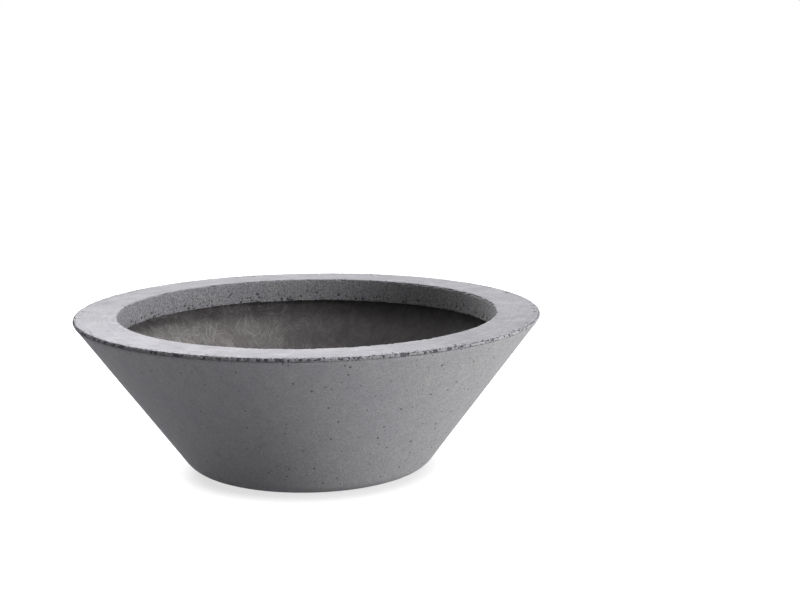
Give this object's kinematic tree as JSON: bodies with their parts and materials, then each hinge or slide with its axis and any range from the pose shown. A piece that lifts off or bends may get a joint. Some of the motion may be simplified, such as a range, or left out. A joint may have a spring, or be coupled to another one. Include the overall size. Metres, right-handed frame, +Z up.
{
  "type": "planter bowl",
  "caption": "Wide shallow conical planter bowl with a flat rim that turns down inside the mouth, laminated inside, with a pull-out drain plug and foot pads.",
  "frame": {"origin": "middle of the bottom, on the ground plane that the foot pads stand on", "axes": "+Z up along the bowl's axis; the bowl is round, so -Y is the front only by convention"},
  "size_m": [0.6, 0.6, 0.206],
  "materials": {
    "face_coat": "matte",
    "laminate": "matte",
    "putty": "matte",
    "rubber": "matte"
  },
  "bodies": {
    "planter": {"outer_shell": "face_coat", "rim_ring": "face_coat", "fiberglass_lining": "laminate", "rim_lining": "laminate", "base_doubler": "laminate", "bond_bead": "putty", "foot_pad_1": "rubber", "foot_pad_2": "rubber", "foot_pad_3": "rubber", "foot_pad_4": "rubber"},
    "drain_plug": {"drain_plug": "rubber"}
  },
  "joints": [
    {"name": "plug_lift", "type": "slide", "parent": "planter", "child": "drain_plug", "axis": [0, 0, 1], "range_m": [0, 0.25]}
  ]
}
